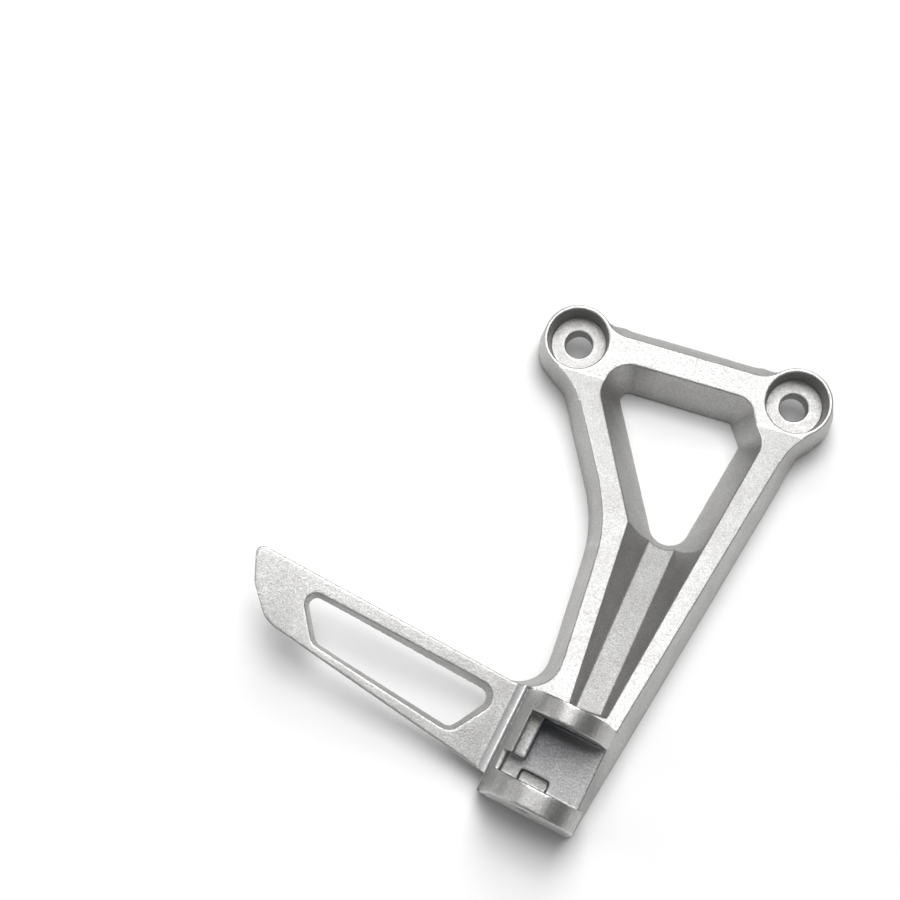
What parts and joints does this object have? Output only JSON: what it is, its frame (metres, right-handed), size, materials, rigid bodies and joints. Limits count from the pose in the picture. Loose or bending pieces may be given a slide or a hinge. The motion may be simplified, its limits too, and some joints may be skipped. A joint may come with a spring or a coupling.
{
  "type": "motorcycle footrest hanger",
  "caption": "Cast aluminium footrest hanger: Y-shaped frame with bolt bosses, a clevis for a folding peg and a flat heel guard with a long window.",
  "frame": {"origin": "on the mounting face of the bosses, midway between the two bolt holes", "axes": "+Z along the bolts, away from the motorcycle's frame; +X from the boss over the bent leg to the boss over the straight leg; -Y from the bolts towards the clevis"},
  "size_m": [0.1528, 0.1622, 0.0939],
  "materials": {
    "alloy": "bare cast aluminium, shot blasted, matt with a fine grain"
  },
  "bodies": {
    "root": {"hanger_casting": "alloy"}
  },
  "joints": []
}
